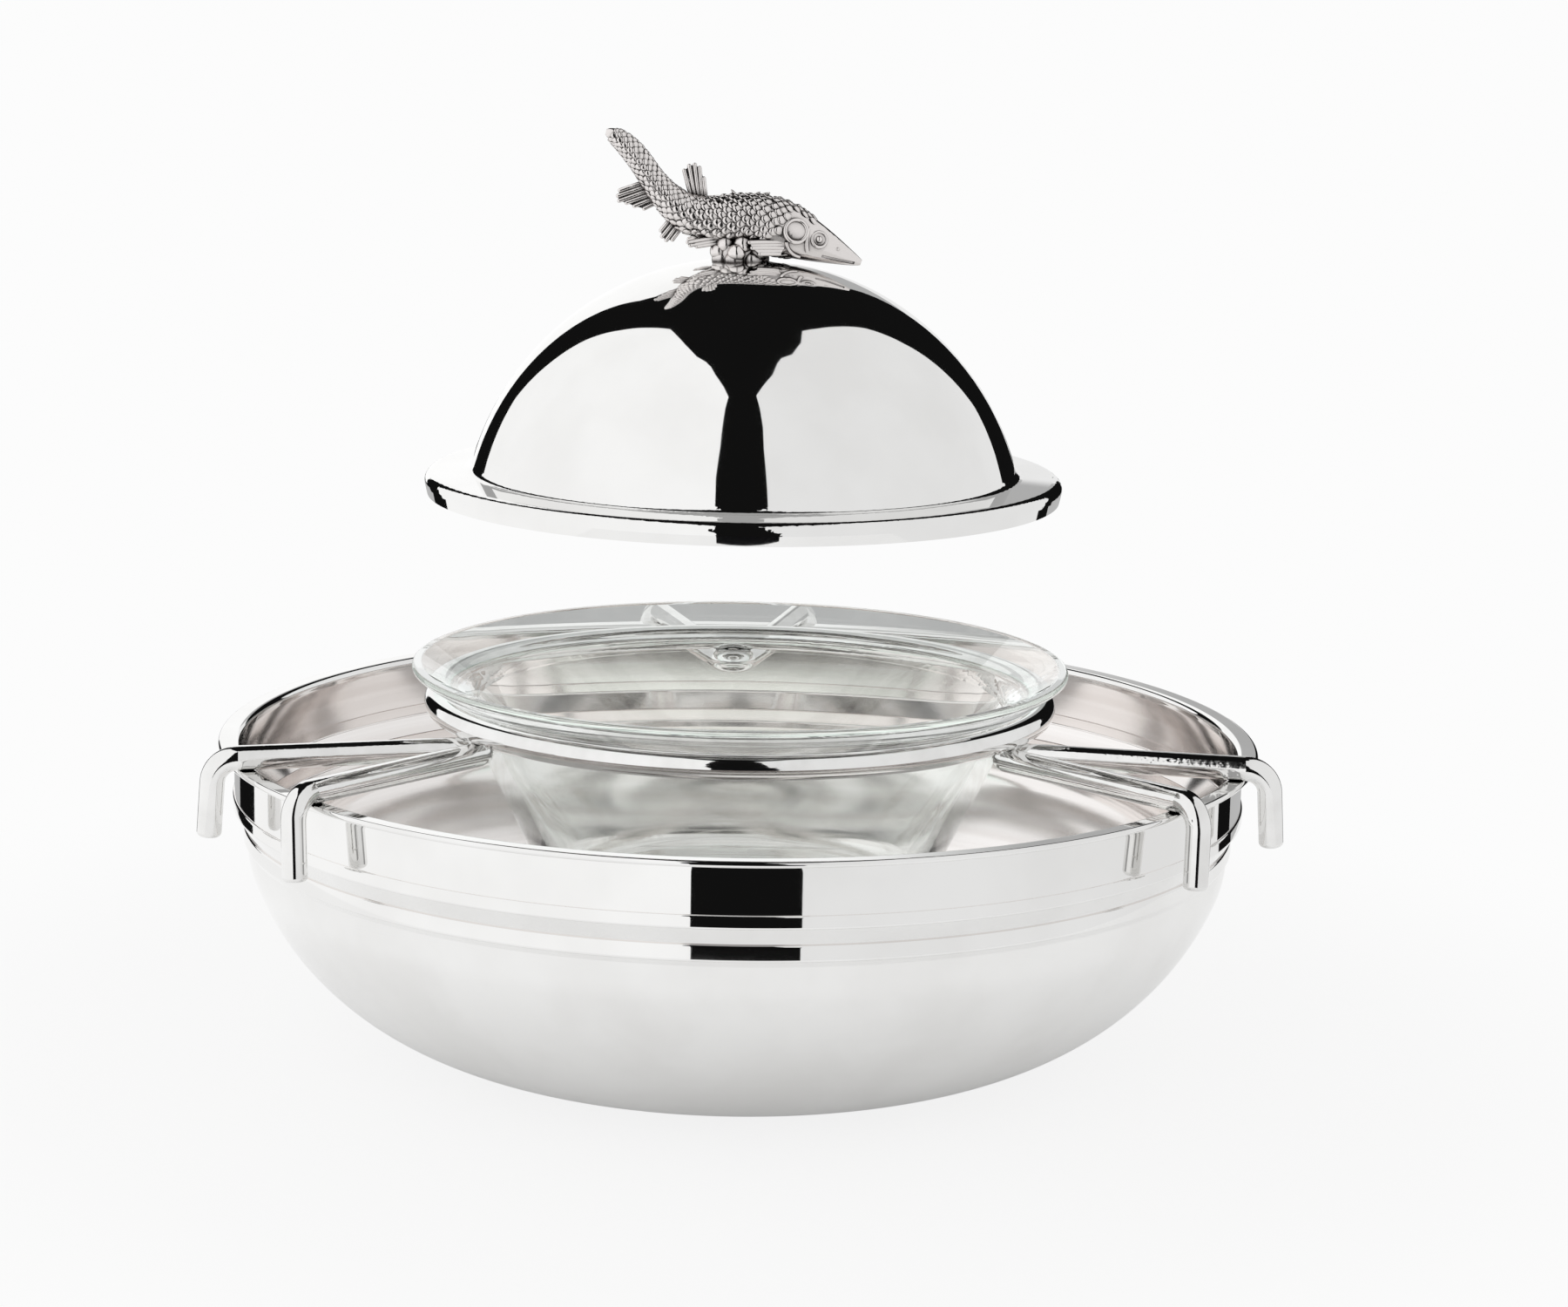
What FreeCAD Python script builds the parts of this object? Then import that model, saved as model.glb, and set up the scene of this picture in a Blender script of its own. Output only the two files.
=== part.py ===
import FreeCAD, Part
import math
import os

# A caviar server, in millimetres: an ice bowl, a wire frame that hangs on its lip, a glass dish in the
# frame's ring, and a domed lid with a cast fish for a handle. The bowl stands on z = 0 about the Z axis,
# and the front looks along -Y.

# Ice bowl, pressed from one sheet
BOWL_SHEET = 1.0
LIP_RADIUS = 87.0
LIP_WIDTH = 2.6
LIP_HEIGHT = 52.7
LIP_BEND = 0.8
BASE_RADIUS = 38.0
SHOULDER_RADIUS = 17.0
BODY_TOP = 35.4
BODY_STEP_IN = 2.0
LOWER_STEP_TOP = 38.9
LOWER_STEP_IN = 1.4
UPPER_STEP_LOW = 41.7
UPPER_STEP_TOP = 43.9
STEP_CROWN = 0.3

# Glass dish, pressed: a steep cup below a flared mouth that rests on the frame's ring
DISH_RADIUS = 55.0
DISH_DEPTH = 41.0
DISH_RIM_ABOVE_RING = 4.5
DISH_REST_GAP = 0.1
CUP_WALL = 2.7
CUP_SLOPE = 64.4
CUP_FLOOR = 4.0
CUP_CORNER = 7.0
FLARE_SLOPE = 36.0
NECK_ROUND = 6.0
RIM_WIDTH = 1.6
RIM_ROUND = 0.6
MOUTH_WIDTH = 8.6
MOUTH_SLOPE = 33.0

# Wire frame: a ring on three hairpin wires, each with two hooks
WIRE_DIAMETER = 4.0
DISH_OVERHANG = 4.0
WELD_SINK = 0.2
HOOK_GAP = 1.5
HOOK_BEND = 4.2
HOOK_DROP = 13.0
HOOK_SPREAD_ANGLE = 9.5
HOOK_SPLAY_ANGLE = 6.0
HOOK_LEAN_ANGLE = 1.7
WIRE_TIP_ROUND = 0.7
HAIRPIN_RADIUS = 2.5
HAIRPIN_INSET = 1.6
LEFT_WIRE_ANGLE = 212.2
RIGHT_WIRE_ANGLE = 332.2
BACK_WIRE_ANGLE = 92.2

# Lid, pressed from one sheet; its heights are from the edge of its skirt
LID_SHEET = 0.9
LID_RAISE = 29.2
LID_REST_INSET = 0.9
SKIRT_HEIGHT = 3.6
SKIRT_FLARE = 0.8
SKIRT_BEND = 1.7
FLANGE_RISE = 0.4
FLANGE_WIDTH = 7.9
DOME_HEIGHT = 39.0
DOME_COVE = 1.4

# Screw that holds the fish from inside the dome
SCREW_DIAMETER = 3.0
SCREW_CLEARANCE = 0.15
SCREW_BITE = 3.4
SCREW_BORE_SPARE = 0.4
SCREW_HEAD_DIAMETER = 5.5
SCREW_HEAD_HEIGHT = 1.8
SCREW_SLOT = 0.8

# Cast fish, measured from the top of the dome: x and z of its spine, half height and half width
FISH_STATIONS = (
    (-23.5, 20.3, 0.45, 0.3),
    (-22.4, 19.9, 1.1, 0.7),
    (-20.9, 18.9, 1.5, 1.0),
    (-18.5, 16.5, 1.8, 1.2),
    (-15.9, 12.9, 1.95, 1.4),
    (-13.2, 9.7, 2.45, 1.9),
    (-10.9, 7.9, 2.9, 2.4),
    (-8.3, 6.8, 3.35, 2.8),
    (-5.2, 6.2, 3.9, 3.3),
    (-1.0, 6.0, 4.5, 3.9),
    (3.3, 5.6, 4.7, 4.1),
    (6.2, 4.8, 4.45, 3.9),
    (9.3, 3.6, 3.75, 3.3),
    (12.2, 2.4, 2.9, 2.6),
    (15.0, 1.2, 1.95, 1.8),
    (17.4, 0.2, 1.05, 1.0),
    (18.7, -0.3, 0.45, 0.4),
)
SCUTE_FIRST = -4.2
SCUTE_LAST = 6.6
SCUTE_COUNT = 9
SCUTE_RADIUS = 0.75
SCUTE_SINK = 0.3
FIN_THICKNESS = 0.45
RAY_RADIUS = 0.36
BACK_FIN_ROOT = ((-9.2, 9.2), (-6.9, 8.8))
BACK_FIN_TIPS = ((-10.6, 14.2), (-9.8, 15.0), (-8.9, 15.2), (-8.1, 14.7), (-7.4, 13.0))
TAIL_FIN_ROOT = ((-17.0, 12.3), (-14.6, 9.2))
TAIL_FIN_TIPS = ((-21.1, 10.8), (-21.4, 9.9), (-21.2, 9.1), (-20.0, 8.8), (-18.7, 8.3), (-17.1, 7.9))
BELLY_FIN_ROOT = ((-12.3, 6.9), (-10.6, 5.4))
BELLY_FIN_TIPS = ((-14.3, 4.4), (-14.1, 3.4), (-13.4, 2.8), (-12.4, 2.9))
REAR_FIN_ROOT = ((-5.0, 3.6), (-4.4, 2.7))
REAR_FIN_TIPS = ((-9.9, 2.8), (-9.5, 2.3), (-8.4, 2.1))
REAR_FIN_OUT = 1.8
FRONT_FIN_ROOT = ((6.4, 3.2), (5.4, 1.2))
FRONT_FIN_TIPS = ((0.2, 3.1), (0.6, 2.2), (1.9, 1.2))
FRONT_FIN_OUT = 3.0
SIDE_FIN_ANGLE = 14.0
GILL_PLACE = (7.9, 5.0)
GILL_RADIUS = 1.85
GILL_RIM = 0.34
GILL_EDGE = ((6.4, 3.3), (7.0, 1.6), (8.6, 0.7))
CHEEK_RIDGE = ((10.1, 5.7), (9.7, 3.8), (9.8, 1.6))
EYE_PLACE = (11.7, 3.6)
EYE_RADIUS = 1.25
EYE_BALL_RADIUS = 0.6
EYE_RIM = 0.26
NOSTRIL_PLACE = (14.8, 2.0)
NOSTRIL_RADIUS = 0.3
MOUTH_LINE = ((12.2, 0.8), (17.6, -0.35))
MOUTH_GROOVE = 0.28
FOOT_RADIUS = 3.9
FOOT_OFFSET = -1.3
FOOT_HEIGHT = 2.3
FOOT_DEPTH = 1.5
ROCK_ROWS = (
    (3.2, 0.0, 7, 0.0, 1.7),
    (3.7, 1.3, 6, 23.0, 1.5),
    (3.9, 0.9, 5, 52.0, 1.0),
    (2.9, 2.6, 6, 41.0, 1.6),
    (3.6, 2.3, 4, 10.0, 1.0),
)

# Sizes that follow
WIRE_RADIUS = WIRE_DIAMETER / 2
WALL_RADIUS = LIP_RADIUS - LIP_WIDTH
RING_RADIUS = DISH_RADIUS - DISH_OVERHANG
MOUTH_RADIUS = DISH_RADIUS - RIM_WIDTH
MOUTH_NECK_RADIUS = MOUTH_RADIUS - MOUTH_WIDTH
SKIRT_EDGE_RADIUS = MOUTH_RADIUS - LID_REST_INSET
SKIRT_RADIUS = SKIRT_EDGE_RADIUS + SKIRT_FLARE
DOME_BASE_RADIUS = SKIRT_RADIUS - FLANGE_WIDTH
ARM_HEIGHT = LIP_HEIGHT + WIRE_RADIUS
HOOK_RADIUS = LIP_RADIUS + HOOK_GAP + WIRE_RADIUS
RING_HEIGHT = ARM_HEIGHT + WIRE_DIAMETER - WELD_SINK
RIM_HEIGHT = RING_HEIGHT + WIRE_RADIUS + DISH_RIM_ABOVE_RING
FLANGE_HEIGHT = SKIRT_HEIGHT + FLANGE_RISE

# Points nearer to each other than this are one point, and slopes of the skin are taken over this length
SAME_PLACE = 1e-4
SKIN_STEP = 0.2

ORIGIN = FreeCAD.Vector(0, 0, 0)
UP = FreeCAD.Vector(0, 0, 1)
ACROSS = FreeCAD.Vector(0, 1, 0)


def at(x, z, y=0):
    """A point, by default of an outline in the upright plane through the axis."""
    return FreeCAD.Vector(x, y, z)


def on_plan(radius, angle, z):
    """A point at a radius and an angle in degrees about the Z axis."""
    turn = math.radians(angle)
    return FreeCAD.Vector(radius * math.cos(turn), radius * math.sin(turn), z)


def slope(degrees):
    return math.tan(math.radians(degrees))


def line(a, b):
    return Part.LineSegment(a, b).toShape()


def arc(a, middle, b):
    return Part.Arc(a, middle, b).toShape()


def arc_about(centre, radius, first, last):
    """Arc about a centre, from one angle in degrees to another."""
    points = []
    for angle in (first, (first + last) / 2, last):
        turn = math.radians(angle)
        points.append(centre + at(radius * math.cos(turn), radius * math.sin(turn)))
    return arc(*points)


def crossing(a, slope_a, b, slope_b):
    """Where two lines of an outline cross, each given by a point and its slope in degrees."""
    rise_a, rise_b = slope(slope_a), slope(slope_b)
    x = (b.z - a.z + rise_a * a.x - rise_b * b.x) / (rise_a - rise_b)
    return at(x, a.z + rise_a * (x - a.x))


def first_end(edge):
    return edge.valueAt(edge.FirstParameter)


def last_end(edge):
    return edge.valueAt(edge.LastParameter)


def closed(edges):
    """The edges as one closed wire, with a straight edge wherever two don't meet."""
    path = []
    for edge, following in zip(edges, edges[1:] + edges[:1]):
        path.append(edge)
        if last_end(edge).distanceToPoint(first_end(following)) > SAME_PLACE:
            path.append(line(last_end(edge), first_end(following)))
    return Part.Wire(path)


def turned(edges):
    """The solid that a closed outline sweeps about the Z axis."""
    return Part.Face(closed(edges)).revolve(ORIGIN, UP, 360)


def polygon(points):
    """Straight edges from each point to the next."""
    return [line(a, b) for a, b in zip(points, points[1:])]


def reversed_edge(edge):
    a, b = first_end(edge), last_end(edge)
    if edge.Curve.TypeId == "Part::GeomLine":
        return line(b, a)
    return arc(b, edge.valueAt((edge.FirstParameter + edge.LastParameter) / 2), a)


def rounded(shape, radius, corner):
    """The shape of revolution with the edge that a corner of its outline sweeps rounded."""
    edges = []
    for edge in shape.Edges:
        if edge.Degenerated or edge.Curve.TypeId != "Part::GeomCircle":
            continue
        centre = edge.Curve.Center
        if at(edge.Curve.Radius, centre.z).distanceToPoint(corner) < SAME_PLACE:
            edges.append(edge)
    return shape.makeFillet(radius, edges)


def bowl_side(inset):
    """The bowl's side from its base up to the bend of its lip, moved inwards by a distance."""
    body_radius = WALL_RADIUS - BODY_STEP_IN
    lower_radius = WALL_RADIUS - LOWER_STEP_IN
    shoulder = at(body_radius - SHOULDER_RADIUS, BODY_TOP)
    across = shoulder.x - BASE_RADIUS
    belly_radius = (across ** 2 + BODY_TOP ** 2 - SHOULDER_RADIUS ** 2) / (2 * (BODY_TOP - SHOULDER_RADIUS))
    belly = at(BASE_RADIUS, belly_radius)
    tangent = math.degrees(math.atan2(shoulder.z - belly.z, shoulder.x - belly.x))
    inward = at(-inset, 0)
    return [
        line(at(0, inset), at(BASE_RADIUS, inset)),
        arc_about(belly, belly_radius - inset, -90, tangent),
        arc_about(shoulder, SHOULDER_RADIUS - inset, tangent, 0),
        arc(at(body_radius, BODY_TOP) + inward,
            at((body_radius + lower_radius) / 2 + STEP_CROWN, (BODY_TOP + LOWER_STEP_TOP) / 2) + inward,
            at(lower_radius, LOWER_STEP_TOP) + inward),
        line(at(lower_radius, LOWER_STEP_TOP) + inward, at(WALL_RADIUS, UPPER_STEP_LOW) + inward),
        arc(at(WALL_RADIUS, UPPER_STEP_LOW) + inward,
            at(WALL_RADIUS + STEP_CROWN, (UPPER_STEP_LOW + UPPER_STEP_TOP) / 2) + inward,
            at(WALL_RADIUS, UPPER_STEP_TOP) + inward),
    ]


def ice_bowl():
    """Flat base, full sides, two crowned steps, an upright band and a lip turned out flat."""
    lip_low = LIP_HEIGHT - BOWL_SHEET
    bend = at(WALL_RADIUS + LIP_BEND, lip_low - LIP_BEND)
    edge_round = BOWL_SHEET / 2
    lip = [
        arc_about(bend, LIP_BEND, 180, 90),
        arc_about(at(LIP_RADIUS - edge_round, lip_low + edge_round), edge_round, -90, 90),
        arc_about(bend, LIP_BEND + BOWL_SHEET, 90, 180),
    ]
    inside = [reversed_edge(edge) for edge in reversed(bowl_side(BOWL_SHEET))]
    return turned(bowl_side(0) + lip + inside)


def support_ring():
    return Part.makeTorus(RING_RADIUS, WIRE_RADIUS, at(0, RING_HEIGHT), UP)


def hook_half_path():
    """One half of a hairpin wire's centre line, from its nose under the ring to the tip of a hook."""
    hairpin = at(RING_RADIUS - HAIRPIN_INSET + HAIRPIN_RADIUS, ARM_HEIGHT)
    knee = on_plan(HOOK_RADIUS, HOOK_SPREAD_ANGLE, ARM_HEIGHT)
    reach = knee - hairpin
    heading = math.degrees(math.atan2(reach.y, reach.x) + math.asin(HAIRPIN_RADIUS / reach.Length))
    arm = on_plan(1, heading, 0)
    arm_start = hairpin + on_plan(HAIRPIN_RADIUS, heading + 90, 0)
    tip = knee + at(slope(HOOK_LEAN_ANGLE), -1, slope(HOOK_SPLAY_ANGLE)) * HOOK_DROP
    leg = (tip - knee).normalize()
    turn = arm.getAngle(leg)
    setback = HOOK_BEND * math.tan(turn / 2)
    towards_centre = (leg - arm).normalize()
    bend_middle = knee + towards_centre * (HOOK_BEND / math.cos(turn / 2) - HOOK_BEND)
    return arm_start, knee - arm * setback, bend_middle, knee + leg * setback, tip


def hook_wire(angle):
    """A hairpin that points out from the ring at an angle, with a hook bent down at each end."""
    left = hook_half_path()
    right = [FreeCAD.Vector(p.x, -p.y, p.z) for p in left]
    nose = at(RING_RADIUS - HAIRPIN_INSET, ARM_HEIGHT)
    path = Part.Wire([
        line(left[4], left[3]),
        arc(left[3], left[2], left[1]),
        line(left[1], left[0]),
        arc(left[0], nose, right[0]),
        line(right[0], right[1]),
        arc(right[1], right[2], right[3]),
        line(right[3], right[4]),
    ])
    section = Part.Wire(Part.Circle(left[4], left[3] - left[4], WIRE_RADIUS).toShape())
    wire = path.makePipeShell([section], True, True)
    tips = [edge for edge in wire.Edges
            if min(edge.CenterOfMass.distanceToPoint(tip) for tip in (left[4], right[4])) < SAME_PLACE]
    wire = wire.makeFillet(WIRE_TIP_ROUND, tips)
    wire.rotate(ORIGIN, UP, angle)
    return wire.cut(support_ring())


def glass_dish():
    """The flare touches the ring along the circle where its slope matches the bar's."""
    low = RIM_HEIGHT - DISH_DEPTH
    lean = math.radians(FLARE_SLOPE)
    reach = WIRE_RADIUS + DISH_REST_GAP
    rest = at(RING_RADIUS - reach * math.sin(lean), RING_HEIGHT + reach * math.cos(lean))
    rim_low = at(DISH_RADIUS, rest.z + (DISH_RADIUS - rest.x) * slope(FLARE_SLOPE))
    mouth = at(MOUTH_RADIUS, RIM_HEIGHT)
    mouth_neck = at(MOUTH_NECK_RADIUS, RIM_HEIGHT - (MOUTH_RADIUS - MOUTH_NECK_RADIUS) * slope(MOUTH_SLOPE))
    wall_across = CUP_WALL / math.sin(math.radians(CUP_SLOPE))
    neck = crossing(rest, FLARE_SLOPE, mouth_neck + at(wall_across, 0), CUP_SLOPE)
    base = crossing(neck, CUP_SLOPE, at(0, low), 0)
    floor = crossing(mouth_neck, CUP_SLOPE, at(0, low + CUP_FLOOR), 0)
    dish = turned(polygon([at(0, low), base, neck, rim_low, at(DISH_RADIUS, RIM_HEIGHT), mouth, mouth_neck,
                           floor, at(0, low + CUP_FLOOR)]))
    dish = rounded(dish, CUP_CORNER, base)
    dish = rounded(dish, CUP_CORNER - CUP_WALL, floor)
    dish = rounded(dish, NECK_ROUND, neck)
    dish = rounded(dish, NECK_ROUND, mouth_neck)
    dish = rounded(dish, RIM_ROUND, rim_low)
    dish = rounded(dish, RIM_ROUND, at(DISH_RADIUS, RIM_HEIGHT))
    return rounded(dish, RIM_ROUND, mouth)


def dome(inset):
    """Centre height and radius of the dome's sphere, moved inwards by a distance."""
    rise = DOME_HEIGHT - FLANGE_HEIGHT
    radius = (DOME_BASE_RADIUS ** 2 + rise ** 2) / (2 * rise)
    return DOME_HEIGHT - radius, radius - inset


def lid_body(inset):
    """The lid as a full shape down to the edge of its skirt, moved inwards by a distance."""
    centre, radius = dome(inset)
    foot = at(math.sqrt(radius ** 2 - (FLANGE_HEIGHT - inset - centre) ** 2), FLANGE_HEIGHT - inset)
    foot_angle = math.degrees(math.atan2(foot.z - centre, foot.x))
    corner = at(SKIRT_RADIUS - inset, SKIRT_HEIGHT - inset)
    outline = polygon([at(0, 0), at(SKIRT_EDGE_RADIUS - inset, 0), corner, foot])
    body = turned(outline + [arc_about(at(0, centre), radius, foot_angle, 90)])
    body = rounded(body, SKIRT_BEND - inset, corner)
    return rounded(body, DOME_COVE + inset, foot)


def lid():
    hole = Part.makeCylinder(SCREW_DIAMETER / 2 + SCREW_CLEARANCE, DOME_HEIGHT + LID_SHEET)
    return lid_body(0).cut(lid_body(LID_SHEET)).cut(hole)


def finial_screw():
    """Pan-head screw whose head bears on the inside of the dome; its thread is left plain."""
    centre, radius = dome(LID_SHEET)
    head_radius = SCREW_HEAD_DIAMETER / 2
    seat = centre + math.sqrt(radius ** 2 - head_radius ** 2)
    low = seat - SCREW_HEAD_HEIGHT
    head = Part.makeCylinder(head_radius, SCREW_HEAD_HEIGHT, at(0, low))
    head = rounded(head, SCREW_HEAD_HEIGHT / 2, at(head_radius, low))
    shank = Part.makeCylinder(SCREW_DIAMETER / 2, DOME_HEIGHT + SCREW_BITE - seat, at(0, seat))
    slot = Part.makeBox(SCREW_HEAD_DIAMETER, SCREW_SLOT, SCREW_HEAD_HEIGHT / 2,
                        at(-head_radius, low, -SCREW_SLOT / 2))
    return head.fuse(shank).removeSplitter().cut(slot)


def girth(x):
    """Height of the fish's spine, half height and half width at a place along it."""
    for a, b in zip(FISH_STATIONS, FISH_STATIONS[1:]):
        if a[0] <= x <= b[0]:
            share = (x - a[0]) / (b[0] - a[0])
            return [low + (high - low) * share for low, high in zip(a[1:], b[1:])]


def on_skin(place):
    """The point of the fish's skin seen at a place from the front, and the way it faces."""
    def depth(x, z):
        centre, tall, wide = girth(x)
        return wide * math.sqrt(max(0, 1 - ((z - centre) / tall) ** 2))

    x, z = place
    along = (depth(x + SKIN_STEP, z) - depth(x - SKIN_STEP, z)) / (2 * SKIN_STEP)
    upward = (depth(x, z + SKIN_STEP) - depth(x, z - SKIN_STEP)) / (2 * SKIN_STEP)
    return at(x, z, -depth(x, z)), FreeCAD.Vector(-along, -1, -upward).normalize()


def fish_body():
    """Upright ellipses square to the spine, with one smooth skin over them all."""
    spine = Part.BSplineCurve()
    spine.interpolate([at(x, z) for x, z, tall, wide in FISH_STATIONS])
    sections = []
    for x, z, tall, wide in FISH_STATIONS:
        centre = at(x, z)
        upward = spine.tangent(spine.parameter(centre))[0].cross(ACROSS)
        ellipse = Part.Ellipse(centre + upward * tall, centre + ACROSS * wide, centre)
        sections.append(Part.Wire(ellipse.toShape()))
    return Part.makeLoft(sections, True, False)


def spread(a, b, count):
    """Evenly spaced points from one to another."""
    return [a + (b - a) * (i / (count - 1)) for i in range(count)]


def fin(root, tips):
    """A flat fan of round-ended rays with a thin web between them, drawn on the fish's middle plane."""
    tips = [at(x, z) for x, z in tips]
    roots = spread(at(*root[0]), at(*root[1]), len(tips))
    corners = roots + tips[::-1]
    facing = (roots[-1] - roots[0]).cross(tips[0] - roots[0]).normalize()
    web = Part.Face(Part.makePolygon(corners + corners[:1]))
    fan = web.translated(facing * (-FIN_THICKNESS / 2)).extrude(facing * FIN_THICKNESS)
    rays = []
    for root, tip in zip(roots, tips):
        rays.append(Part.makeCylinder(RAY_RADIUS, root.distanceToPoint(tip), root, tip - root))
        rays.append(Part.makeSphere(RAY_RADIUS, tip))
    return fan.fuse(rays)


def upright_fins():
    """The fins on the fish's middle plane: on its back, under its tail and behind its belly."""
    return [
        fin(BACK_FIN_ROOT, BACK_FIN_TIPS),
        fin(TAIL_FIN_ROOT, TAIL_FIN_TIPS),
        fin(BELLY_FIN_ROOT, BELLY_FIN_TIPS),
    ]


def side_fin(root, tips, out):
    """A paired fin of the front side, turned outwards about its root."""
    laid_back = fin(root, tips)
    laid_back.rotate(at(*root[0]), UP, SIDE_FIN_ANGLE)
    return laid_back.translated(ACROSS * -out)


def side_fins():
    return [side_fin(REAR_FIN_ROOT, REAR_FIN_TIPS, REAR_FIN_OUT),
            side_fin(FRONT_FIN_ROOT, FRONT_FIN_TIPS, FRONT_FIN_OUT)]


def scutes():
    """The row of bony plates along the back."""
    plates = []
    for place in spread(at(SCUTE_FIRST, 0), at(SCUTE_LAST, 0), SCUTE_COUNT):
        centre, tall, wide = girth(place.x)
        fall = (girth(place.x - SKIN_STEP)[0] - girth(place.x + SKIN_STEP)[0]) / (2 * SKIN_STEP)
        upward = at(fall, 1).normalize()
        plates.append(Part.makeSphere(SCUTE_RADIUS, at(place.x, centre) + upward * (tall - SCUTE_SINK)))
    return plates


def bead(places):
    """A round bar along the skin, through three places seen from the front."""
    path = arc(*[on_skin(place)[0] for place in places])
    section = Part.Circle(first_end(path), path.tangentAt(path.FirstParameter), GILL_RIM).toShape()
    return Part.Wire(path).makePipeShell([Part.Wire(section)], True, True)


def head_side():
    """Gill cover, ridge of the cheek, and an eye in its ring, on the front side."""
    gill, gill_facing = on_skin(GILL_PLACE)
    eye, eye_facing = on_skin(EYE_PLACE)
    return [
        Part.makeTorus(GILL_RADIUS, GILL_RIM, gill, gill_facing),
        bead(GILL_EDGE),
        bead(CHEEK_RIDGE),
        Part.makeTorus(EYE_RADIUS, EYE_RIM, eye, eye_facing),
        Part.makeSphere(EYE_BALL_RADIUS, eye),
    ]


def head_hollows():
    """The line of the mouth and the nostril on the front side."""
    corner, lips = [on_skin(place)[0] for place in MOUTH_LINE]
    nostril = on_skin(NOSTRIL_PLACE)[0]
    return [
        Part.makeCylinder(MOUTH_GROOVE, corner.distanceToPoint(lips), corner, lips - corner),
        Part.makeSphere(NOSTRIL_RADIUS, nostril),
    ]


def on_both_sides(pieces):
    return pieces + [piece.mirror(ORIGIN, ACROSS) for piece in pieces]


def fish_foot():
    """A low lump of rock under the belly, with rows of knobs round it."""
    foot = Part.makeCylinder(FOOT_RADIUS, FOOT_HEIGHT + FOOT_DEPTH, at(FOOT_OFFSET, -FOOT_DEPTH))
    knobs = []
    for out, height, count, turn, radius in ROCK_ROWS:
        for i in range(count):
            knob = on_plan(out, turn + 360 * i / count, height) + at(FOOT_OFFSET, 0)
            knobs.append(Part.makeSphere(radius, knob))
    return [foot] + knobs


def fish_finial():
    fish = fish_body().fuse(upright_fins() + scutes() + fish_foot())
    for piece in on_both_sides(side_fins() + head_side()):
        fish = fish.fuse(piece)
    fish = fish.cut(on_both_sides(head_hollows()))
    fish.translate(at(0, DOME_HEIGHT))
    bore = Part.makeCylinder(SCREW_DIAMETER / 2, DOME_HEIGHT + SCREW_BITE + SCREW_BORE_SPARE)
    return fish.cut(lid_body(0)).cut(bore)


def lifted(shape):
    """A piece of the lid, moved from its own heights to where the lid is held over the dish."""
    seat = RIM_HEIGHT - (MOUTH_RADIUS - SKIRT_EDGE_RADIUS) * slope(MOUTH_SLOPE)
    return shape.translated(at(0, seat + LID_RAISE))


def main():
    os.makedirs("parts", exist_ok=True)
    pieces = {
        "ice_bowl": ice_bowl(),
        "support_ring": support_ring(),
        "hook_wire_left": hook_wire(LEFT_WIRE_ANGLE),
        "hook_wire_right": hook_wire(RIGHT_WIRE_ANGLE),
        "hook_wire_back": hook_wire(BACK_WIRE_ANGLE),
        "glass_dish": glass_dish(),
        "lid": lifted(lid()),
        "fish_finial": lifted(fish_finial()),
        "finial_screw": lifted(finial_screw()),
    }
    for name, shape in pieces.items():
        box = shape.BoundBox
        print(name, "valid", shape.isValid(), "solids", len(shape.Solids), "volume", round(shape.Volume, 1),
              "x", round(box.XMin, 1), round(box.XMax, 1), "y", round(box.YMin, 1), round(box.YMax, 1),
              "z", round(box.ZMin, 1), round(box.ZMax, 1))
        shape.exportStep("parts/" + name + ".step")


main()
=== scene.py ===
import math

import bmesh
import bpy
from mathutils import Matrix, Vector
from mathutils.bvhtree import BVHTree


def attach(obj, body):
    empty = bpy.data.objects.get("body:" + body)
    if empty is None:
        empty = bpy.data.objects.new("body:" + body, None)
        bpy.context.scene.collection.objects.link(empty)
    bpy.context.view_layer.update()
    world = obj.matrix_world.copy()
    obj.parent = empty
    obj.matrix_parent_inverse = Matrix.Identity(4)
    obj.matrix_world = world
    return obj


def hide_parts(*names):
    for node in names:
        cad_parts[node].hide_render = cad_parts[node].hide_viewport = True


MM = 0.001

# Camera of the photograph, fitted to the four labelled sizes, in metres and degrees; its lens is in mm
CAMERA_PLACE = (0.007264, -0.63338, 0.19447)
CAMERA_DOWN = 11.426
CAMERA_ROLL = 1.105
CAMERA_LENS = 88.3
CAMERA_SENSOR = 36
CAMERA_CLIP = 0.01

# White tent round the object, in metres and degrees: each row is a height above the horizon and the two
# bearings between which the cloth runs there. Bearings are from +Y, positive towards +X
TENT_RADIUS = 1.6
TENT_CENTRE = (0.0, 0.0, 0.1)
TENT_COLUMNS = 24
LEFT_SIDE_ROWS = (
    (-35, -43, -171), (0, -43, -171), (12, -37, -169), (23, -39, -169),
    (33, -40, -168), (45, -43, -168), (54, -45, -167), (62, -47, -166),
    (67, -56, -166), (71, -68, -158), (75, -92, -140), (77, -110, -122),
)
RIGHT_SIDE_ROWS = (
    (-35, 43.5, 165.5), (0, 43.5, 165.5), (12, 36, 169), (23, 37, 169),
    (33, 38, 169), (45, 38, 169), (54, 40, 168), (62, 42, 168),
    (68, 43, 169), (72, 60, 160), (76, 84, 140), (79, 100, 114),
)
BACKDROP_ROWS = ((-6, -24, 13), (20, -24, 13), (36, -24, 13), (39, -22, 11))
BACKDROP_FOOT_ROWS = ((-35, -28, 33), (-8, -28, 33))
LEFT_SIDE_GLOW = 1.03
RIGHT_SIDE_GLOW = 0.86
BACKDROP_GLOW = 1.06
BACKDROP_FOOT_GLOW = 0.5

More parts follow.
